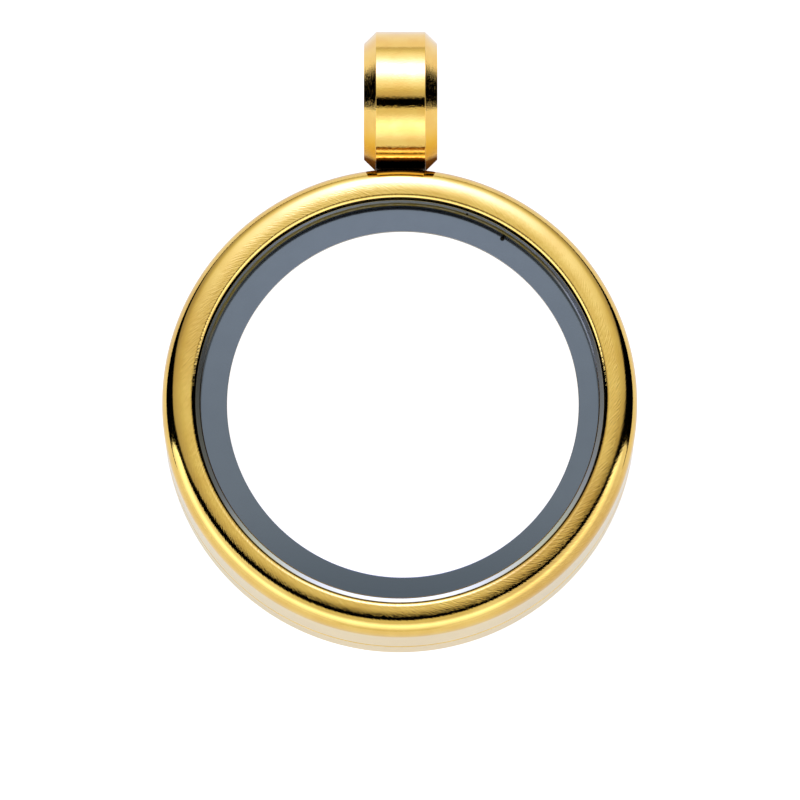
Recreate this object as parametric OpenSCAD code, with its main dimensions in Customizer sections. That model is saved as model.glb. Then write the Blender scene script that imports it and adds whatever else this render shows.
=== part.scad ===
// Round open-window pendant case with a fixed bevelled bail, lying on its back.
// +Z is the way the front faces, +Y points from the case to the bail, and the
// origin is the centre of the case on its back face.

/* [Case front] */
// Outer diameter of the case
case_d = 30; // [29.5:0.5:34]
// Thickness of the closed case from back to front
case_t = 8; // [7.5:0.1:10]
// Diameter of the window inside the front lip
window_d = 26; // [25.9:0.05:26.4]
// Thickness of the side wall
wall_t = 1.45; // [1.3:0.05:1.6]
// Thickness of the front lip
lip_t = 0.7; // [0.6:0.05:0.8]
// Radius of the rounded front shoulder
shoulder_r = 1.1; // [0.8:0.05:1.3]
// Radius of the crown across the outer part of the front band
crown_r = 2.6; // [2:0.1:8]
// Distance from the window's edge to where the flat ring ends and the crown begins
crest_inset = 0.42; // [0.35:0.01:0.5]
// Radius of the rounding at the window's front edge
lip_round = 0.36; // [0.3:0.02:0.5]
// How far that rounding reaches out from the window's edge
lip_round_w = 0.24; // [0.15:0.01:0.26]

/* [Back cover] */
// Height of the parting line above the back face
seam_z = 3; // [2.2:0.1:3.1]
// Diameter of the opening in the back cover
back_opening_d = 24.6; // [23:0.1:24.8]
// Rounding of the cover's outer back edge
back_round = 0.6; // [0.3:0.05:0.9]

/* [Inner rings] */
// Diameter inside the rim
rim_d = 25.1; // [24.8:0.1:25.2]
// Outer diameter of the rim's raised edge, which stands up inside the window
raised_d = 25.8; // [25.6:0.05:25.8]
// Slope of the raised edge's top, down towards the window's centre, in degrees
rim_slope = 16.5; // [5:0.5:25]
// Depth of the rim's top below the crest of the front band
rim_set = 0.45; // [0.3:0.05:0.6]
// Height of the rim
rim_h = 0.8; // [0.75:0.05:1.1]
// Fall of the rim's flange from the raised edge out to its rim
flange_fall = 0.25; // [0.1:0.05:0.35]
// Diameter of the hole in the flat seat ring
seat_hole_d = 22.2; // [20:0.1:23]
// Thickness of the seat ring
seat_t = 0.35; // [0.3:0.05:0.5]
// Sideways shift of the loose seat ring
seat_shift = 0.2; // [0:0.05:0.25]
// Shift of the loose seat ring away from the bail
seat_drop = 0.05; // [0:0.05:0.2]

/* [Bail] */
// Outer diameter of the bail's ring
bail_d = 8.9; // [8.4:0.1:9.4]
// Width of the bail along the chain
bail_w = 4.65; // [4:0.05:5.5]
// Thickness of the bail's band
bail_band_t = 1.3; // [1.1:0.1:1.5]
// Width of the bevel along both outer edges of the band
bevel_w = 0.77; // [0.4:0.01:0.9]
// Depth of that bevel towards the ring's centre
bevel_d = 0.75; // [0.4:0.05:0.8]
// Space between the bail and the case, which the soldered foot fills
bail_gap = 0.13; // [0.1:0.01:0.6]
// Height of the bail's centre above the back face
bail_z = 5.9; // [4.8:0.1:6.2]
// Sideways shift of the bail
bail_shift = 0.06; // [0:0.02:0.2]

/* [Hidden] */
$fn = 180;

stack_gap = 0.05;
fit_gap = 0.1;
seat_play = 0.35;
seam_gap = 0.1;
edge_chamfer = 0.1;
bail_inner_chamfer = 0.15;
foot_rise = 0.25;
foot_drop = 1.2;
foot_sink = 0.5;
rim_inner_bevel = 0.07;
shoulder_reach = 1.2;

case_r = case_d / 2;
window_r = window_d / 2;
bore_r = case_r - wall_t;
lip_z = case_t - lip_t;
spigot_r = bore_r - fit_gap;
opening_r = back_opening_d / 2;

flange_top = lip_z - stack_gap;
rim_top = case_t - rim_set;
rim_bottom = rim_top - rim_h;
rim_r = rim_d / 2;
seat_top = rim_bottom - stack_gap;
seat_bottom = seat_top - seat_t;
spigot_top = seat_bottom - stack_gap;

bail_r = bail_d / 2;
bail_y = case_r + bail_gap + bail_r;
foot_w = bail_w - 2 * bevel_w;
foot_y = case_r - foot_sink;

// The front band is a flat ring, then the crown's arc, then the shoulder's. The
// shoulder is the smaller arc and touches the crown's from inside, so its centre
// lies the difference of the two radii away from the crown's centre. On a wide case
// the crown is kept flat enough for the two to meet.
crest_r = window_r + crest_inset;
shoulder_x = case_r - shoulder_r;
crown_reach = shoulder_x - crest_r;
crown = max(crown_r, shoulder_r + shoulder_reach * crown_reach);
crown_z = case_t - crown;
shoulder_z = crown_z + sqrt(pow(crown - shoulder_r, 2) - pow(crown_reach, 2));
crown_outer_x = crest_r + crown_reach * crown / (crown - shoulder_r);

gold = [0.86, 0.68, 0.30];
steel = [0.46, 0.49, 0.54];

// A rectangle between two radii and two heights, for a turned profile
module band(r_in, r_out, z_low, z_high) {
    translate([r_in, z_low]) square([r_out - r_in, z_high - z_low]);
}

// A small triangle that bevels one corner of a turned profile
module corner_cut(r, z, size_r, size_z) {
    polygon([[r, z], [r + size_r, z], [r, z + size_z]]);
}

// Everything between the two profile corners and the outside of a rounded edge
module edge_cut(r, z, radius, side_r, side_z) {
    difference() {
        polygon([[r, z], [r - side_r * radius, z],
                 [r - side_r * radius, z - side_z * radius], [r, z - side_z * radius]]);
        translate([r - side_r * radius, z - side_z * radius]) circle(r = radius);
    }
}

module front_profile() {
    wall_bottom = seam_z + seam_gap / 2;
    difference() {
        union() {
            intersection() {
                translate([crest_r, crown_z]) circle(r = crown);
                band(crest_r, crown_outer_x, lip_z, case_t);
            }
            intersection() {
                translate([shoulder_x, shoulder_z]) circle(r = shoulder_r);
                band(shoulder_x, case_r, shoulder_z, case_t);
            }
            band(window_r, crest_r, lip_z, case_t);
            band(bore_r, shoulder_x, wall_bottom, lip_z);
            band(bore_r, case_r, wall_bottom, shoulder_z);
        }
        edge_cut(window_r + lip_round_w - lip_round, case_t, lip_round, -1, 1);
        corner_cut(case_r, wall_bottom, -edge_chamfer, edge_chamfer);
    }
}

module cover_profile() {
    cover_top = seam_z - seam_gap / 2;
    difference() {
        union() {
            band(opening_r, case_r, 0, cover_top);
            band(opening_r, spigot_r, 0, spigot_top);
        }
        corner_cut(case_r, cover_top, -edge_chamfer, -edge_chamfer);
        corner_cut(spigot_r, spigot_top, -edge_chamfer, -edge_chamfer);
        edge_cut(case_r, 0, back_round, 1, -1);
    }
}

// A flange that falls away under the front lip, and a raised edge with a sloping top
// inside the window, with a dark groove left between the edge and the lip
module rim_profile() {
    raised_r = raised_d / 2;
    bevel_r = rim_r + rim_inner_bevel;
    slope_low = rim_top - (raised_r - bevel_r) * tan(rim_slope);
    polygon([
        [rim_r, rim_bottom], [spigot_r, rim_bottom],
        [spigot_r, flange_top - flange_fall], [raised_r, flange_top],
        [raised_r, rim_top], [bevel_r, slope_low], [rim_r, slope_low - rim_inner_bevel]
    ]);
}

// The band of the bail, as the radius across and the width up
module bail_profile() {
    half_w = bail_w / 2;
    inner_r = bail_r - bail_band_t;
    c = bail_inner_chamfer;
    polygon([
        [inner_r + c, -half_w], [bail_r - bevel_d, -half_w],
        [bail_r, bevel_w - half_w], [bail_r, half_w - bevel_w],
        [bail_r - bevel_d, half_w], [inner_r + c, half_w],
        [inner_r, half_w - c], [inner_r, c - half_w]
    ]);
}

module bail_ring() {
    translate([bail_shift, bail_y, bail_z]) rotate([0, 90, 0]) rotate_extrude() bail_profile();
}

// The foot is sunk into the case wall and into the band, and no further. It sits
// low, so that only the dark cleft above it shows from the front.
module bail_foot() {
    foot_end = bail_y - bail_r + bail_band_t / 2;
    translate([bail_shift - foot_w / 2, foot_y, bail_z - foot_drop])
        cube([foot_w, foot_end - foot_y, foot_drop + foot_rise]);
}

module case_front() {
    color(gold) union() {
        rotate_extrude() front_profile();
        bail_ring();
        bail_foot();
    }
}

module back_cover() {
    color(gold) rotate_extrude() cover_profile();
}

module inner_rim() {
    color(steel) rotate_extrude() rim_profile();
}

module seat_ring() {
    seat_r = bore_r - seat_play;
    color(steel) translate([seat_shift, -seat_drop, 0])
        rotate_extrude() band(seat_hole_d / 2, seat_r, seat_bottom, seat_top);
}

case_front();
back_cover();
inner_rim();
seat_ring();
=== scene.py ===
import math

import bpy
import numpy as np
from mathutils import Matrix, Vector


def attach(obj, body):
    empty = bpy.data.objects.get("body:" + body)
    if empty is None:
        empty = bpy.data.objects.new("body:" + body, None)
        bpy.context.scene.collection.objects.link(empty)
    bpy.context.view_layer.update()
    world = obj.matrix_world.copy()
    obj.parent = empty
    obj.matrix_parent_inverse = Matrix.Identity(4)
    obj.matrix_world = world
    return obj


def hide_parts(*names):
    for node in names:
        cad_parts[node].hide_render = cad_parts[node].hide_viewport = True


MM = 0.001
UP = (0, 0, 1)

# Sizes repeated from the CAD source, in millimetres. An arc is its centre and its radius.
CASE_R = 15.0
LIP_Z = 7.3
LIP_R = 13.0
BORE_R = 13.55
WALL_BOTTOM = 3.05
LIP_ROUND = ((13.24, 7.64), 0.36)
LIP_ANGLE = 131.81
LIP_EDGE_Z = 7.9083
CROWN = ((13.42, 5.4), 2.6)
SHOULDER = ((13.9, 6.8211), 1.1)
SHOULDER_ANGLE = 71.336
COVER_TOP = 2.95
OPENING_R = 12.3
SPIGOT_R = 13.45
SPIGOT_TOP = 6.3
BACK_ROUND = 0.6
CHAMFER = 0.1
RIM_R = 12.55
RIM_OUT = 12.9
RIM_BOTTOM = 6.75
FLANGE_EDGE = 7.0
FLANGE_TOP = 7.25
RIM_TOP = 7.55
RIM_SLOPE_LOW = (12.62, 7.467)
RIM_INNER_Z = 7.397
SEAT_INNER_R = 11.1
SEAT_OUTER_R = 13.2
SEAT_BOTTOM = 6.35
SEAT_TOP = 6.7
SEAT_CENTRE = (0.2, -0.05, 0)
BAIL_CENTRE = (0.06, 19.58, 5.9)
BAIL_R = 4.45
BAIL_IN_R = 3.15
BAIL_HALF = 2.325
FACET_HALF = 1.555
BEVEL_R = 3.7
BAIL_INNER_CHAMFER = 0.15
FOOT_Y = (14.5, 16.05)
FOOT_Z = (4.7, 6.15)

# How many steps the turned meshes take round their axis and along each arc
RING_STEPS = 720
BAIL_STEPS = 360
EDGE_STEPS = 4
SHOULDER_STEPS = 28
CROWN_STEPS = 12
LIP_STEPS = 12
BACK_STEPS = 16
# The roundings of machined edges, and the distance at which two points are one
FINE_EDGE = 0.03
LIP_EDGE = 0.01
RIM_EDGE = 0.04
SAME_POINT = 0.0001
# The solder's section is a rounded rectangle, which narrows towards the middle of its length
SOLDER_SECTIONS = 13
SOLDER_SIDES = 48
SOLDER_WAIST = 0.12
SOLDER_SQUARENESS = 0.3

# The camera looks down at the case from 80 degrees above the floor
CAMERA_ELEVATION = math.radians(80)
CAMERA_DISTANCE = 600 * MM
CAMERA_AIM = Vector((0.02, 0.66, 4.0)) * MM
CAMERA_SENSOR = 36
CAMERA_LENS = 425.8
CAMERA_CLIP = (0.01, 20)

# Light against the angle from the camera's line, on the side towards the viewer
CARD_LIGHT = [
    (0, 0.4), (5, 0.45), (10.5, 0.7), (14, 0.82), (17.4, 0.82), (20.7, 0.86), (24, 0.95),
    (27.5, 1.15), (31, 1.35), (34.5, 1.6), (38, 1.95), (41, 2.03), (45, 1.8), (48.5, 1.62),
    (56, 1.4), (60, 1.22), (63.5, 1.05), (71, 0.9), (80, 0.88), (90, 0.85),
]
# Light against the angle from the soft box's centre, on the other side
BOX_LIGHT = [
    (0, 3.4), (8, 3.2), (10, 2.7), (11.6, 2.3), (15, 1.8), (18.5, 1.52), (22, 1.3),
    (25.3, 1.18), (28.6, 1.07), (32, 0.98), (35.3, 0.85), (38.6, 0.74), (42, 0.66), (45, 0.58),
    (48, 0.52), (60, 0.46),
]
# The highest level that a list of light can hold, and the level of the whole studio
RAMP_TOP = 6.0
LIGHT_LEVEL = 0.96
# The angle from the camera's line up to the soft box's centre, in degrees
BOX_TILT = 54.5
# The card's angles are stretched sideways, on the left and on the right, and the degrees
# to each side of the middle over which the one becomes the other
CARD_STRETCH = (0.75, 1.05)
MIDDLE_SOFT = 0.1
# A fill that grows with the angle to either side, in degrees, up to this level
FILL_REACH = (2, 18)
SIDE_FILL = 1.05
# The dark patch round the camera, in degrees: its edges, its middle and its bend upwards
PATCH_LOW = -11.0
PATCH_SOFT = 0.5
PATCH_HIGH = (3.5, 7.5)
PATCH_SIDE = -3.0
PATCH_BEND = 0.0165
# The flag ends the soft box at this angle, sooner with height and later on the left
FLAG_ANGLE = (55.5, 58.5)
FLAG_HEIGHT = (0.15, 0.75)
FLAG_LIFT = 9.5
FLAG_SIDE = (-20, 10)
FLAG_DELAY = (2.5, -0.5)
# Low down the soft box reaches over to the card's side, by the last number of each row
LOW_REACH = ((0.04, 0.12, 0.1), (0.1, 0.5, 0.03))
BEYOND_SOFT = 0.001
# Green and blue follow the light's level by a slope and a start, within limits
GREEN_LINE = (0.22, 0.82)
GREEN_LIMITS = (0.94, 1.08)
BLUE_LINE = (1.5, -0.33)
LEAST_BLUE = 0.8
CARD_BLUE = 1.3
BOX_BLUE = 2.4

# The floor's size in metres, and where it is dark far out on both sides, in millimetres
FLOOR_SIZE = 3.0
FLOOR_DARK_X = (60, 80)
FLOOR_DARK_Y = (14, 26)
FLOOR_DARK_SLOPE = 0.09
# Its glow, white, green and blue, first as the metal mirrors them, then as the camera sees them
FLOOR_GLOW = (0.25, 0.93)
FLOOR_WHITE = (0.7, 0.35)
FLOOR_GREEN = (0.945, 0.97)
FLOOR_BLUE = (0.75, 0.97)

GOLD = (0.86, 0.58, 0.122)
GOLD_DEEP = (0.81, 0.52, 0.098)
GOLD_BROWN = (0.6, 0.34, 0.045)
# Painted shade for the cleft between the case and the bail
GOLD_PAINTED_SHADE = (0.045, 0.022, 0.008)
BAIL_GOLD = (0.95, 0.63, 0.14)
BAIL_GOLD_DEEP = (0.92, 0.56, 0.105)
# A painted reflection of the case on the bail's lower bevels, and painted shade on them
BEVEL_REFLECTED_ORANGE = (0.92, 0.5, 0.01)
BEVEL_PAINTED_SHADE = (0.2, 0.07, 0.01)
# The seat's painted shade and painted light, darker low down and lighter towards the bail
STEEL_SHADED = (0.104, 0.13, 0.172)
STEEL_LIT = (0.194, 0.23, 0.289)
STEEL_CLOUD = (0.13, 0.155, 0.205)
STEEL_PALE = (0.26, 0.28, 0.31)
# A painted highlight along the rim's lower edge, and painted shade on its left
STEEL_HIGHLIGHT = (0.40, 0.39, 0.22)
STEEL_SHADE = (0.125, 0.13, 0.12)
# Real dark marks, and the painted shadow line at the rim's foot
STEEL_DIRT_AND_SHADE = (0.012, 0.011, 0.008)
OLIVE = (0.135, 0.10, 0.02)

# The gold's clouds and lines: their sizes in millimetres, how fine they are, and where the
# clouds set in
CASE_CLOUD = 1.6
BAIL_CLOUD = 1.2
CLOUD_DETAIL = 3
CLOUD_EDGE = (0.35, 0.7)
LINE_DETAIL = 3
# The gold's lacquer
COAT_ROUGHNESS = 0.04
COAT_IOR = 1.5

# Each metal's roughness, as a slope and a start, and the depth of its grain in millimetres
FRONT_ROUGH = (0.06, 0.03)
FRONT_DEPTH = 0.014
BAIL_ROUGH = (0.06, 0.03)
BAIL_DEPTH = 0.004
COVER_ROUGH = (0.08, 0.05)
COVER_DEPTH = 0.002
RIM_ROUGH = (0.12, 0.16)
RIM_DEPTH = 0.0015
SEAT_ROUGH = (0.1, 0.08)
SEAT_DEPTH = 0.0012

# In the rows below, two numbers are where a change begins and ends. Where two more follow,
# they are the value before it and the value after it, and otherwise it is between 0 and 1.

# The front's streaks: the radius they are measured on, their slant, length and width
STREAK_R = 14.0
STREAK_SLANT = math.radians(33)
STREAK_SIZE = (0.55, 0.085)
# They are strong on the band, and weak outside it and below it
BRUSHED_R = (13.82, 13.98, 1, 0.15)
BRUSHED_Z = (7.2, 7.7, 0.05, 1)
# Browner stretches, as two angles from the lower edge and how softly they end
WORN_RIGHT = (0.65, 1.05, 0.35)
WORN_LEFT = (-2.0, -1.85, 0.3)
WORN_LEFT_SHARE = 0.55
WORN_STREAKS = (0.3, 0.65, 0.45, 0.85)
# The painted shade on the case under the bail, and the rougher edge of the lip
CASE_SHADE_X = (1.6, 2.0)
CASE_SHADE_Y = (14.2, 14.6)
CASE_SHADE_Z = (6.6, 7.0)
SOFT_LIP_R = (13.18, 13.3)
SOFT_LIP_Y = (6, 10)
SOFT_LIP = 0.12

# The bail's lines and specks, as the size along its ring and across it
BAIL_LINES = (0.8, 0.08)
BAIL_SPECKS = (0.12, 0.1)
SPECK_HEIGHT = 1.2
# Places on the bail go from 0, level with its centre, to 1, nearest the case, less a little
# for each millimetre inwards. The bevels get a painted orange reflection of the case, and
# then painted shade lies above a height.
INWARD_LOSS = 0.07
LOW_REFLECTION = (0.45, 0.85)
LOW_SHADE = (0.9, 0.95)
SHADE_ABOVE = (3.5, 4.0)
BEVEL_SOFT = 0.06
ORANGE_DULL = 0.8

# The cover's turning lines, as the size along and across them
COVER_LINES = (3.0, 0.08)

# The rim's lines, as their size round the rim, outwards and upwards
RIM_LINES = (0.5, 0.06, 0.06)
# The thin olive line in the rim's upper half, which is turned a little to one side
OLIVE_TURN = 0.159
OLIVE_Y = (4.5, 7.5)
OLIVE_R = (12.71, 12.75)
OLIVE_Z = (7.3, 7.36)
OLIVE_STREAKS = (0.3, 0.6, 0.7, 1)
# Where its steel has painted shade and a painted highlight, the painted shadow line at its
# foot, and two dark marks, each as a centre and a size
SHADE_X = (-11.5, -4)
SHADE_Y = (-10.5, -5)
HIGHLIGHT_Y = (-9.5, -4)
FOOT_R = (12.56, 12.6)
FOOT_TOP = (6.85, 6.95)
RIM_MARKS = (((6.62, 10.68, 7.2), 0.2), ((4.27, 11.97, 7.5), 0.08))

# The seat ring's grain and clouds, its painted rise in light towards the bail, and its mark
SEAT_GRAIN = 0.12
SEAT_GRAIN_DETAIL = 4
SEAT_GRAIN_ROUGH = 0.6
SEAT_CLOUD = 1.1
SEAT_CLOUD_EDGE = (0.3, 0.75, 0, 0.12)
SEAT_RISE_LOW = (-14.5, -5, 0, 0.7)
SEAT_RISE_HIGH = (-5, 13, 0, 0.3)
SEAT_MARK = (6.5, 10.56, 6.7)
SEAT_MARK_SIZE = 0.15

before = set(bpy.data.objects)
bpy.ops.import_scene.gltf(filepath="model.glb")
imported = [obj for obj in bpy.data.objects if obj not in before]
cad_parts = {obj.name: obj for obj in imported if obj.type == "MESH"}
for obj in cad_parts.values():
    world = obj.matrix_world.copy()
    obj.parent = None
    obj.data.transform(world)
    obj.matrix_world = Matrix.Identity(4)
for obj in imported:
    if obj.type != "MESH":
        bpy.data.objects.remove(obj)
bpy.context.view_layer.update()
scene = bpy.context.scene


def camera_axes():
    """The direction from the object to the camera, and the picture's upward direction."""
    toward = Vector((0, -math.cos(CAMERA_ELEVATION), math.sin(CAMERA_ELEVATION)))
    upward = Vector((0, math.sin(CAMERA_ELEVATION), math.cos(CAMERA_ELEVATION)))
    return toward, upward


def make_camera():
    toward, upward = camera_axes()
    data = bpy.data.cameras.new("camera")
    data.sensor_width = CAMERA_SENSOR
    data.lens = CAMERA_LENS
    data.clip_start, data.clip_end = CAMERA_CLIP
    camera = bpy.data.objects.new("camera", data)
    scene.collection.objects.link(camera)
    turn = Matrix((Vector((1, 0, 0)), upward, toward)).transposed()
    place = Matrix.Translation(CAMERA_AIM + toward * CAMERA_DISTANCE)
    camera.matrix_world = place @ turn.to_4x4()
    scene.camera = camera


class Nodes:
    """Builds one node tree. A value given to a node is a number, a vector or a node's socket."""

    def __init__(self, tree):
        self.tree = tree
        tree.nodes.clear()

    def add(self, kind, inputs=None, **settings):
        node = self.tree.nodes.new(kind)
        for name, value in settings.items():
            setattr(node, name, value)
        for name, value in (inputs or {}).items():
            self.feed(node.inputs[name], value)
        return node

    def feed(self, socket, value):
        if isinstance(value, bpy.types.NodeSocket):
            self.tree.links.new(value, socket)
        else:
            socket.default_value = value

    def surface(self, kind, shader):
        """Ends the tree with an output node of the given kind."""
        self.tree.links.new(shader.outputs[0], self.add(kind).inputs["Surface"])

    def math(self, operation, *values):
        node = self.add("ShaderNodeMath", operation=operation)
        for socket, value in zip(node.inputs, values):
            self.feed(socket, value)
        return node.outputs[0]

    def product(self, *values):
        result = values[0]
        for value in values[1:]:
            result = self.math("MULTIPLY", result, value)
        return result

    def line(self, value, slope, start):
        """Value times slope, plus start."""
        return self.math("MULTIPLY_ADD", value, slope, start)

    def rest(self, value):
        """What is left of one."""
        return self.math("SUBTRACT", 1, value)

    def clamp(self, value, low, high):
        return self.math("MINIMUM", self.math("MAXIMUM", value, low), high)

    def dot(self, vector, direction):
        inputs = {0: vector, 1: tuple(direction)}
        node = self.add("ShaderNodeVectorMath", inputs, operation="DOT_PRODUCT")
        return node.outputs["Value"]

    def step(self, value, start, end, low=0.0, high=1.0):
        """Goes smoothly from low to high while value goes from start to end."""
        node = self.add(
            "ShaderNodeMapRange",
            {"Value": value, "From Min": start, "From Max": end, "To Min": low, "To Max": high},
            interpolation_type="SMOOTHSTEP",
        )
        return node.outputs["Result"]

    def between(self, value, low, high, soft):
        """One between low and high, falling to zero over a distance of soft outside them."""
        light_rise = self.step(value, low - soft, low)
        fall = self.step(value, high, high + soft, 1, 0)
        return self.product(light_rise, fall)

    def ramp(self, value, points, top):
        """Looks up a value in a list of (position, level) points, with no level above top."""
        low, high = points[0][0], points[-1][0]
        spread = self.add("ShaderNodeMapRange", {"Value": value, "From Min": low, "From Max": high})
        node = self.add("ShaderNodeValToRGB", {"Fac": spread.outputs["Result"]})
        elements = node.color_ramp.elements
        elements.remove(elements[-1])
        for i, (position, level) in enumerate(points):
            place = (position - low) / (high - low)
            element = elements[0] if i == 0 else elements.new(place)
            element.position = place
            shade = level / top
            element.color = (shade, shade, shade, 1)
        return self.product(node.outputs["Color"], top)

    def mix(self, share, first, second):
        """Mixes two numbers."""
        return self.add("ShaderNodeMix", {"Factor": share, "A": first, "B": second}).outputs[0]

    def blend(self, share, first, second):
        """Mixes two colours, each a triple or a socket."""
        node = self.add("ShaderNodeMix", {"Factor": share}, data_type="RGBA")
        for socket, value in ((node.inputs[6], first), (node.inputs[7], second)):
            self.feed(socket, value if isinstance(value, bpy.types.NodeSocket) else (*value, 1))
        return node.outputs[2]

    def color(self, red, green, blue):
        inputs = {"Red": red, "Green": green, "Blue": blue}
        return self.add("ShaderNodeCombineColor", inputs).outputs[0]

    def length(self, *parts):
        """The length of a vector of two or three parts."""
        squares = [self.product(part, part) for part in parts]
        total = squares[0]
        for square in squares[1:]:
            total = self.math("ADD", total, square)
        return self.math("SQRT", total)

    def spot(self, place, centre, size):
        """One within a ball round centre, fading to zero over half its size."""
        away = self.length(*[self.math("SUBTRACT", p, c) for p, c in zip(place, centre)])
        return self.step(away, 0.75 * size, 1.25 * size, 1, 0)

    def noise(self, places, sizes, detail=2.0, rough=0.5):
        """Noise over two or three coordinates, each with the size of the grain along it."""
        scaled = [self.math("DIVIDE", place, size) for place, size in zip(places, sizes)]
        place = self.add("ShaderNodeCombineXYZ", dict(enumerate(scaled)))
        node = self.add(
            "ShaderNodeTexNoise",
            {"Vector": place.outputs[0], "Scale": 1.0, "Detail": detail, "Roughness": rough},
        )
        return node.outputs["Fac"]


def camera_ray(n):
    """One where the camera looks straight at something, zero in what the metal mirrors."""
    return n.add("ShaderNodeLightPath").outputs["Is Camera Ray"]


def card_light(n, tilt, side, off_patch):
    """The card's light by the angle from the camera's line, with a fill to both sides."""
    stretch = n.step(side, -MIDDLE_SOFT, MIDDLE_SOFT, *CARD_STRETCH)
    across = n.math("COSINE", n.math("RADIANS", n.product(side, stretch)))
    level = n.math("COSINE", n.math("RADIANS", tilt))
    away = n.math("DEGREES", n.math("ARCCOSINE", n.product(level, across)))
    fill = n.step(n.math("ABSOLUTE", off_patch), *FILL_REACH, 0, SIDE_FILL)
    return n.math("MAXIMUM", n.ramp(away, CARD_LIGHT, RAMP_TOP), fill)


def box_light(n, direction, side, height):
    """The soft box's light by the angle from its centre, as far as the flag."""
    toward, upward = camera_axes()
    tilt = math.radians(BOX_TILT)
    centre = math.cos(tilt) * toward + math.sin(tilt) * upward
    away = n.math("DEGREES", n.math("ARCCOSINE", n.dot(direction, centre)))
    lift = n.step(height, *FLAG_HEIGHT, 0, FLAG_LIFT)
    lift = n.math("SUBTRACT", lift, n.step(side, *FLAG_SIDE, *FLAG_DELAY))
    uncovered = n.step(n.math("ADD", away, lift), *FLAG_ANGLE, 1, 0)
    return n.product(n.ramp(away, BOX_LIGHT, RAMP_TOP), uncovered)


def box_side(n, direction, height):
    """One in the directions that belong to the soft box, zero in the card's."""
    reach = [n.step(height, start, end, most, 0) for start, end, most in LOW_REACH]
    across = n.math("ADD", n.dot(direction, (0, 1, 0)), n.math("ADD", *reach))
    return n.step(across, -BEYOND_SOFT, BEYOND_SOFT)


def dark_patch(n, tilt, off_patch, beyond):
    """One in the dark patch, which lies on the card's side only."""
    above = n.math("SUBTRACT", tilt, n.product(off_patch, off_patch, PATCH_BEND))
    return n.product(
        n.step(above, PATCH_LOW - PATCH_SOFT, PATCH_LOW + PATCH_SOFT),
        n.step(above, *PATCH_HIGH, 1, 0),
        n.rest(beyond),
    )


def light_tint(n, strength, beyond):
    """The light's colour, warm where it is dim and cool where it is bright."""
    green = n.clamp(n.line(strength, *GREEN_LINE), *GREEN_LIMITS)
    most_blue = n.mix(beyond, CARD_BLUE, BOX_BLUE)
    blue = n.clamp(n.line(strength, *BLUE_LINE), LEAST_BLUE, most_blue)
    return n.color(1.0, green, blue)


def make_light():
    """A studio with a soft box beyond the object, a pale card before it, and dark round the camera."""
    world = bpy.data.worlds.new("studio")
    scene.world = world
    world.use_nodes = True
    n = Nodes(world.node_tree)
    toward, upward = camera_axes()
    direction = n.add("ShaderNodeTexCoord").outputs["Generated"]
    tilt = n.math("DEGREES", n.math("ARCTAN2", n.dot(direction, upward), n.dot(direction, toward)))
    side = n.math("DEGREES", n.math("ARCSINE", n.dot(direction, (1, 0, 0))))
    height = n.dot(direction, UP)
    off_patch = n.math("SUBTRACT", side, PATCH_SIDE)
    beyond = box_side(n, direction, height)
    card = card_light(n, tilt, side, off_patch)
    box = box_light(n, direction, side, height)
    bare = n.rest(dark_patch(n, tilt, off_patch, beyond))
    strength = n.product(n.mix(beyond, card, box), bare, LIGHT_LEVEL)
    seen = camera_ray(n)
    tint = n.blend(seen, light_tint(n, strength, beyond), (1, 1, 1))
    strength = n.math("MAXIMUM", strength, seen)
    background = n.add("ShaderNodeBackground", {"Color": tint, "Strength": strength})
    n.surface("ShaderNodeOutputWorld", background)


def new_piece(name, points, faces):
    mesh = bpy.data.meshes.new(name)
    mesh.from_pydata(points, [], faces)
    piece = bpy.data.objects.new(name, mesh)
    scene.collection.objects.link(piece)
    return piece


def new_material(name):
    material = bpy.data.materials.new(name)
    material.use_nodes = True
    return material, Nodes(material.node_tree)


def place_nodes(n):
    """The object's own coordinates in millimetres."""
    split = n.add("ShaderNodeSeparateXYZ", {0: n.add("ShaderNodeTexCoord").outputs["Object"]})
    return [n.math("DIVIDE", split.outputs[i], MM) for i in range(3)]


def make_floor():
    """A white floor, dark where the metal would mirror its far sides."""
    half = FLOOR_SIZE / 2
    corners = [(-half, -half, 0), (half, -half, 0), (half, half, 0), (-half, half, 0)]
    floor = new_piece("floor", corners, [(0, 1, 2, 3)])
    material, n = new_material("floor_white")
    seen = camera_ray(n)
    x, y, _ = place_nodes(n)
    outer = n.math("ABSOLUTE", x)
    far = n.step(outer, *FLOOR_DARK_X)
    dark = n.product(far, n.step(n.line(outer, FLOOR_DARK_SLOPE, y), *FLOOR_DARK_Y))
    pale = n.rest(dark)
    glow = n.math("MAXIMUM", n.product(pale, FLOOR_GLOW[0]), n.product(seen, FLOOR_GLOW[1]))
    mirrored = n.product(pale, n.rest(seen), FLOOR_WHITE[0])
    white = n.math("MAXIMUM", mirrored, n.product(seen, FLOOR_WHITE[1]))
    green = n.product(white, n.step(seen, 0, 1, *FLOOR_GREEN))
    blue = n.product(white, n.step(seen, 0, 1, *FLOOR_BLUE))
    shader = n.add(
        "ShaderNodeBsdfPrincipled",
        {
            "Base Color": n.color(white, green, blue),
            "Roughness": 1.0,
            "Specular IOR Level": 0.0,
            "Emission Color": (1, 1, 1, 1),
            "Emission Strength": glow,
        },
    )
    n.surface("ShaderNodeOutputMaterial", shader)
    floor.data.materials.append(material)


def corner(radius, height, rounding=FINE_EDGE, steps=EDGE_STEPS):
    """A rounded corner of an outline."""
    return ("corner", np.array((radius, height)), rounding, steps)


def arc(circle, start, end, steps):
    """A stretch of an outline on a circle, between two angles in degrees."""
    return ("arc", circle, start, end, steps)


def unit(vector):
    return vector / np.linalg.norm(vector)


def outward(direction):
    """The way out of an anticlockwise outline that runs in a direction."""
    return np.array((direction[1], -direction[0]))


def turned_by(vector, angle):
    c, s = math.cos(angle), math.sin(angle)
    return np.array((c * vector[0] - s * vector[1], s * vector[0] + c * vector[1]))


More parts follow.
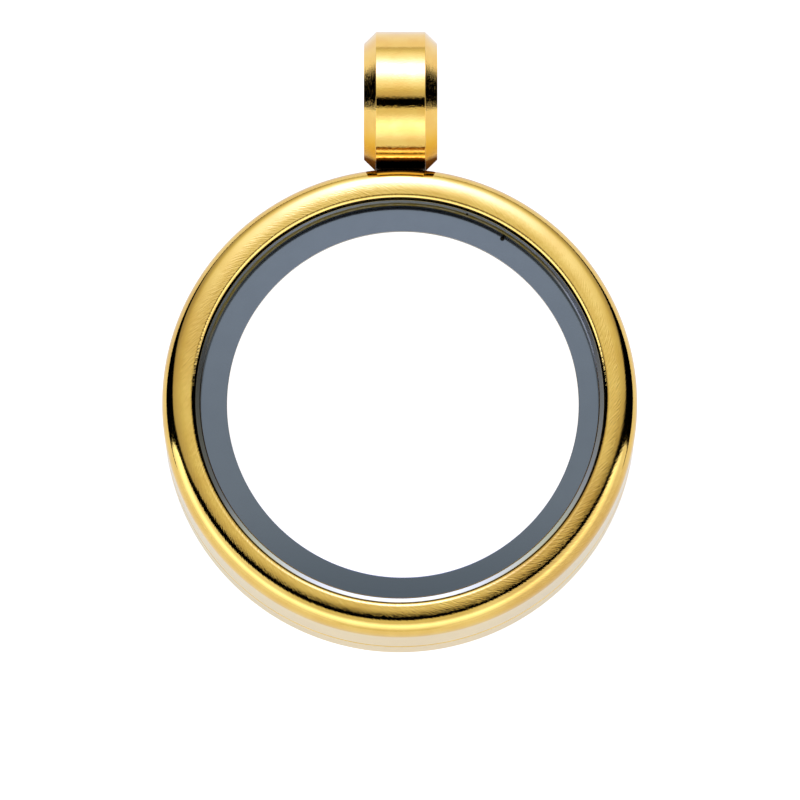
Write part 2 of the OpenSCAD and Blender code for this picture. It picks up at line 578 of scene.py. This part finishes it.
def arc_run(item):
    """The points of one arc, with the surface's normal at each."""
    _, (centre, radius), start, end, steps = item
    run = []
    for k in range(steps + 1):
        angle = math.radians(start + (end - start) * k / steps)
        normal = np.array((math.cos(angle), math.sin(angle)))
        run.append((np.array(centre) + radius * normal, normal))
    return run


def corner_run(item, before, after):
    """The points of one corner, rounded by its radius, with the surface's normal at each."""
    _, point, rounding, steps = item
    into, out = unit(point - before), unit(after - point)
    turn = math.atan2(into[0] * out[1] - into[1] * out[0], into @ out)
    bend = math.copysign(1, turn)
    start = point - into * rounding * math.tan(abs(turn) / 2)
    centre = start - outward(into) * rounding * bend
    run = []
    for k in range(steps + 1):
        normal = turned_by(outward(into), turn * k / steps)
        run.append((centre + normal * rounding * bend, normal))
    return run


def outer_points(item):
    """Where an arc or a corner starts and ends, before its corners are rounded."""
    if item[0] == "corner":
        return item[1], item[1]
    run = arc_run(item)
    return run[0][0], run[-1][0]


def outline(items):
    """A closed anticlockwise outline, as stretches of (start, normal there, normal at the end)."""
    ends = [outer_points(item) for item in items]
    runs = []
    for i, item in enumerate(items):
        if item[0] == "arc":
            runs.append(arc_run(item))
        else:
            runs.append(corner_run(item, ends[i - 1][1], ends[(i + 1) % len(items)][0]))
    stretches = []
    for i, run in enumerate(runs):
        for (point, normal), (_, next_normal) in zip(run, run[1:]):
            stretches.append((point, normal, next_normal))
        last, following = run[-1][0], runs[(i + 1) % len(runs)][0][0]
        if np.linalg.norm(following - last) > SAME_POINT:
            normal = outward(unit(following - last))
            stretches.append((last, normal, normal))
    return stretches


def turn_mesh(name, items, steps, centre=(0, 0, 0), axes=((1, 0, 0), (0, 1, 0), UP)):
    """Turns an outline of (radius, height) round the last of the three axes, with true normals."""
    starts, first, second = [np.array(part) for part in zip(*outline(items))]
    count = len(starts)
    angles = np.arange(steps) * 2 * math.pi / steps
    spokes = np.outer(np.cos(angles), axes[0]) + np.outer(np.sin(angles), axes[1])
    axis = np.array(axes[2], float)

    def swept(profile, turn):
        return spokes[turn] * profile[:, :1] + axis * profile[:, 1:]

    ring, place = np.meshgrid(np.arange(steps), np.arange(count), indexing="ij")
    next_ring, next_place = (ring + 1) % steps, (place + 1) % count
    corners = ((ring, place), (next_ring, place), (next_ring, next_place), (ring, next_place))
    points = (swept(starts, ring).reshape(-1, 3) + np.array(centre)) * MM
    faces = np.stack([turn * count + part for turn, part in corners], -1).reshape(-1, 4)
    profiles = (first, first, second, second)
    normals = [swept(profile, turn) for (turn, _), profile in zip(corners, profiles)]
    piece = new_piece(name, points.tolist(), faces.tolist())
    piece.data.shade_smooth()
    piece.data.normals_split_custom_set(np.stack(normals, 2).reshape(-1, 3).tolist())
    return piece


def front_shell():
    items = [
        corner(LIP_R, LIP_Z),
        corner(BORE_R, LIP_Z),
        corner(BORE_R, WALL_BOTTOM),
        corner(CASE_R - CHAMFER, WALL_BOTTOM),
        corner(CASE_R, WALL_BOTTOM + CHAMFER),
        arc(SHOULDER, 0, SHOULDER_ANGLE, SHOULDER_STEPS),
        arc(CROWN, SHOULDER_ANGLE, 90, CROWN_STEPS),
        arc(LIP_ROUND, 90, LIP_ANGLE, LIP_STEPS),
        corner(LIP_R, LIP_EDGE_Z, LIP_EDGE),
    ]
    return turn_mesh("front_shell", items, RING_STEPS)


def cover_shell():
    items = [
        corner(OPENING_R, 0),
        corner(CASE_R, 0, BACK_ROUND, BACK_STEPS),
        corner(CASE_R, COVER_TOP - CHAMFER),
        corner(CASE_R - CHAMFER, COVER_TOP),
        corner(SPIGOT_R, COVER_TOP),
        corner(SPIGOT_R, SPIGOT_TOP - CHAMFER),
        corner(SPIGOT_R - CHAMFER, SPIGOT_TOP),
        corner(OPENING_R, SPIGOT_TOP),
    ]
    return turn_mesh("cover_shell", items, RING_STEPS)


def rim_bead():
    items = [
        corner(RIM_R, RIM_BOTTOM),
        corner(SPIGOT_R, RIM_BOTTOM),
        corner(SPIGOT_R, FLANGE_EDGE),
        corner(RIM_OUT, FLANGE_TOP),
        corner(RIM_OUT, RIM_TOP, RIM_EDGE),
        corner(*RIM_SLOPE_LOW),
        corner(RIM_R, RIM_INNER_Z),
    ]
    return turn_mesh("rim_bead", items, RING_STEPS)


def seat_plate():
    items = [
        corner(SEAT_INNER_R, SEAT_BOTTOM),
        corner(SEAT_OUTER_R, SEAT_BOTTOM),
        corner(SEAT_OUTER_R, SEAT_TOP),
        corner(SEAT_INNER_R, SEAT_TOP),
    ]
    return turn_mesh("seat_plate", items, RING_STEPS, SEAT_CENTRE)


def bail_loop():
    chamfer = BAIL_INNER_CHAMFER
    items = [
        corner(BAIL_IN_R + chamfer, -BAIL_HALF),
        corner(BEVEL_R, -BAIL_HALF),
        corner(BAIL_R, -FACET_HALF),
        corner(BAIL_R, FACET_HALF),
        corner(BEVEL_R, BAIL_HALF),
        corner(BAIL_IN_R + chamfer, BAIL_HALF),
        corner(BAIL_IN_R, BAIL_HALF - chamfer),
        corner(BAIL_IN_R, chamfer - BAIL_HALF),
    ]
    return turn_mesh("bail_loop", items, BAIL_STEPS, BAIL_CENTRE, ((0, 1, 0), UP, (1, 0, 0)))


def solder_section(share):
    """The points round the solder at one share of the way from the case to the bail."""
    y = FOOT_Y[0] + (FOOT_Y[1] - FOOT_Y[0]) * share
    middle_z = sum(FOOT_Z) / 2
    inset = SOLDER_WAIST * (1 - (2 * share - 1) ** 2)
    half_x = FACET_HALF - inset
    half_z = (FOOT_Z[1] - FOOT_Z[0]) / 2 - inset
    points = []
    for k in range(SOLDER_SIDES):
        angle = 2 * math.pi * k / SOLDER_SIDES
        c, s = math.cos(angle), math.sin(angle)
        x = half_x * math.copysign(abs(c) ** SOLDER_SQUARENESS, c)
        z = middle_z + half_z * math.copysign(abs(s) ** SOLDER_SQUARENESS, s)
        points.append(((x + BAIL_CENTRE[0]) * MM, y * MM, z * MM))
    return points


def bail_solder():
    """The soldered stub between case and bail, a little narrower halfway than at its two ends."""
    last = SOLDER_SECTIONS - 1
    points = []
    for i in range(SOLDER_SECTIONS):
        points += solder_section(i / last)
    faces = []
    for i in range(last):
        low, high = i * SOLDER_SIDES, (i + 1) * SOLDER_SIDES
        for k in range(SOLDER_SIDES):
            following = (k + 1) % SOLDER_SIDES
            faces.append((low + k, high + k, high + following, low + following))
    faces.append(tuple(range(SOLDER_SIDES)))
    faces.append(tuple(reversed(range(last * SOLDER_SIDES, SOLDER_SECTIONS * SOLDER_SIDES))))
    piece = new_piece("bail_solder", points, faces)
    piece.data.shade_smooth()
    return piece


def polar(n, a, b):
    return n.length(a, b), n.math("ARCTAN2", b, a)


def case_polar(n, x, y):
    """The radius and the angle round the case.

    The angle is measured from the lower edge, so its seam lies under the bail."""
    return polar(n, n.product(y, -1), x)


def clouded(n, place, size, color, deep_color):
    """One colour that drifts into another in soft clouds."""
    clouds = n.noise(place, (size, size, size), detail=CLOUD_DETAIL)
    return n.blend(n.step(clouds, *CLOUD_EDGE), color, deep_color)


def finish_metal(n, color, roughness, height, depth, lacquer=0.0, polish=1.0):
    """A metal whose surface is stirred by height, which is worth depth millimetres.

    Where polish is zero the surface is dull and not metal, as in the bail's painted shade."""
    bump = n.add("ShaderNodeBump", {"Height": height, "Strength": 1.0, "Distance": depth * MM})
    shader = n.add(
        "ShaderNodeBsdfPrincipled",
        {
            "Base Color": color,
            "Metallic": polish,
            "Specular IOR Level": 0.0,
            "Roughness": roughness,
            "Normal": bump.outputs[0],
            "Coat Weight": lacquer,
            "Coat Roughness": COAT_ROUGHNESS,
            "Coat IOR": COAT_IOR,
            "Coat Normal": bump.outputs[0],
        },
    )
    n.surface("ShaderNodeOutputMaterial", shader)


def front_gold():
    """Polished gold with fine streaks that cross the front band at a slant."""
    material, n = new_material("gold_front")
    x, y, z = place_nodes(n)
    radius, angle = case_polar(n, x, y)
    arc_length = n.product(angle, STREAK_R)
    profile = n.math("SUBTRACT", radius, z)
    c, s = math.cos(STREAK_SLANT), math.sin(STREAK_SLANT)
    along = n.math("ADD", n.product(arc_length, c), n.product(profile, s))
    across = n.math("SUBTRACT", n.product(profile, c), n.product(arc_length, s))
    streaks = n.noise((along, across), STREAK_SIZE, detail=LINE_DETAIL)
    brushed = n.product(n.step(radius, *BRUSHED_R), n.step(z, *BRUSHED_Z))
    height = n.product(n.math("SUBTRACT", streaks, 0.5), brushed)

    right = n.between(angle, *WORN_RIGHT)
    left = n.product(n.between(angle, *WORN_LEFT), WORN_LEFT_SHARE)
    worn = n.product(n.math("MAXIMUM", right, left), n.step(streaks, *WORN_STREAKS))
    # Painted shade on the case in the cleft under the bail
    under_bail = n.step(n.math("ABSOLUTE", x), *CASE_SHADE_X, 1, 0)
    shade_and_marks = n.product(under_bail, n.step(y, *CASE_SHADE_Y), n.step(z, *CASE_SHADE_Z, 1, 0))
    color = clouded(n, (x, y, z), CASE_CLOUD, GOLD, GOLD_DEEP)
    color = n.blend(worn, color, GOLD_BROWN)
    color = n.blend(shade_and_marks, color, GOLD_PAINTED_SHADE)

    ends = n.step(n.math("ABSOLUTE", y), *SOFT_LIP_Y)
    soft_lip = n.product(n.step(radius, *SOFT_LIP_R, SOFT_LIP, 0), ends)
    roughness = n.math("ADD", n.line(streaks, *FRONT_ROUGH), soft_lip)
    finish_metal(n, color, roughness, height, FRONT_DEPTH, n.rest(shade_and_marks))
    return material


def bail_gold():
    """Polished gold with fine lines that run round the bail's ring."""
    material, n = new_material("gold_bail")
    x, y, z = place_nodes(n)
    centre_x, centre_y, centre_z = BAIL_CENTRE
    radius, angle = polar(n, n.math("SUBTRACT", y, centre_y), n.math("SUBTRACT", z, centre_z))
    arc_length = n.product(angle, BAIL_R)
    off_centre = n.math("SUBTRACT", x, centre_x)
    inward = n.math("SUBTRACT", BAIL_R, radius)
    profile = n.math("ADD", off_centre, n.product(n.math("SIGN", off_centre), inward))
    lines = n.noise((arc_length, profile), BAIL_LINES, detail=LINE_DETAIL)
    specks = n.noise((arc_length, profile), BAIL_SPECKS)
    height = n.math("ADD", lines, n.product(specks, SPECK_HEIGHT))

    low_side = n.math("DIVIDE", n.math("SUBTRACT", centre_y, y), radius)
    low_side = n.math("SUBTRACT", low_side, n.product(inward, INWARD_LOSS))
    # Painted shade on the bail's side nearest the case, the solder included
    shade_and_marks = n.product(n.step(low_side, *LOW_SHADE), n.step(z, *SHADE_ABOVE))
    bevel = n.step(n.math("ABSOLUTE", off_centre), FACET_HALF, FACET_HALF + BEVEL_SOFT)
    # Painted orange reflection of the case on the lower bevels
    low_bevel = n.product(bevel, n.step(low_side, *LOW_REFLECTION))
    color = clouded(n, (x, y, z), BAIL_CLOUD, BAIL_GOLD, BAIL_GOLD_DEEP)
    color = n.blend(low_bevel, color, BEVEL_REFLECTED_ORANGE)
    color = n.blend(shade_and_marks, color, n.blend(bevel, GOLD_PAINTED_SHADE, BEVEL_PAINTED_SHADE))

    polish = n.rest(n.product(shade_and_marks, bevel))
    lacquer = n.rest(n.math("MAXIMUM", shade_and_marks, n.product(low_bevel, ORANGE_DULL)))
    finish_metal(n, color, n.line(lines, *BAIL_ROUGH), height, BAIL_DEPTH, lacquer, polish)
    return material


def cover_gold():
    """Gold with fine turning lines round the wall and the back."""
    material, n = new_material("gold_cover")
    x, y, z = place_nodes(n)
    radius, angle = case_polar(n, x, y)
    arc_length = n.product(angle, CASE_R)
    profile = n.math("SUBTRACT", radius, z)
    lines = n.noise((arc_length, profile), COVER_LINES, detail=LINE_DETAIL)
    color = clouded(n, (x, y, z), CASE_CLOUD, GOLD, GOLD_DEEP)
    finish_metal(n, color, n.line(lines, *COVER_ROUGH), lines, COVER_DEPTH, 1.0)
    return material


def rim_steel():
    """Steel, with a painted highlight along the lower edge and a thin olive line in its upper half."""
    material, n = new_material("steel_rim")
    x, y, z = place_nodes(n)
    radius, angle = case_polar(n, x, y)
    arc_length = n.product(angle, RIM_OUT)
    lines = n.noise((arc_length, radius, z), RIM_LINES)

    upper_side = n.step(n.math("SUBTRACT", y, n.product(x, OLIVE_TURN)), *OLIVE_Y)
    olive_line = n.product(n.step(radius, *OLIVE_R, 1, 0), n.step(z, *OLIVE_Z), upper_side)
    olive_line = n.product(olive_line, n.step(lines, *OLIVE_STREAKS))
    shade = n.product(n.step(x, *SHADE_X, 1, 0), n.step(y, *SHADE_Y))
    # The painted shadow line at the foot of the rim's inner wall, then two real dark marks
    shade_and_marks = n.product(n.step(radius, *FOOT_R, 1, 0), n.step(z, *FOOT_TOP, 1, 0))
    for centre, size in RIM_MARKS:
        shade_and_marks = n.math("MAXIMUM", shade_and_marks, n.spot((x, y, z), centre, size))
    # Painted highlight along the lower edge, then painted shade on the left
    color = n.blend(n.step(y, *HIGHLIGHT_Y), STEEL_HIGHLIGHT, STEEL_PALE)
    color = n.blend(shade, color, STEEL_SHADE)
    color = n.blend(olive_line, color, OLIVE)
    color = n.blend(shade_and_marks, color, STEEL_DIRT_AND_SHADE)
    finish_metal(n, color, n.line(lines, *RIM_ROUGH), lines, RIM_DEPTH)
    return material


def seat_steel():
    """Blue-grey steel with a very fine grain, with painted shade a little darker towards the lower
    edge.
    """
    material, n = new_material("steel_seat")
    x, y, z = place_nodes(n)
    grain_size = (SEAT_GRAIN, SEAT_GRAIN)
    grain = n.noise((x, y), grain_size, detail=SEAT_GRAIN_DETAIL, rough=SEAT_GRAIN_ROUGH)
    clouds = n.noise((x, y), (SEAT_CLOUD, SEAT_CLOUD))
    # Painted light that rises from the lower edge towards the bail
    light_rise = n.math("ADD", n.step(y, *SEAT_RISE_LOW), n.step(y, *SEAT_RISE_HIGH))
    color = n.blend(light_rise, STEEL_SHADED, STEEL_LIT)
    color = n.blend(n.step(clouds, *SEAT_CLOUD_EDGE), color, STEEL_CLOUD)
    color = n.blend(n.spot((x, y, z), SEAT_MARK, SEAT_MARK_SIZE), color, STEEL_DIRT_AND_SHADE)
    finish_metal(n, color, n.line(grain, *SEAT_ROUGH), grain, SEAT_DEPTH)
    return material


def settle(piece, body, node, material):
    piece.data.materials.append(material)
    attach(piece, body)
    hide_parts(node)


make_camera()
make_light()
make_floor()
scene.view_settings.view_transform = "Standard"
bail_material = bail_gold()
settle(front_shell(), "front", "case_front", front_gold())
settle(bail_loop(), "front", "case_front", bail_material)
settle(bail_solder(), "front", "case_front", bail_material)
settle(cover_shell(), "back", "back_cover", cover_gold())
settle(rim_bead(), "back", "inner_rim", rim_steel())
settle(seat_plate(), "back", "seat_ring", seat_steel())
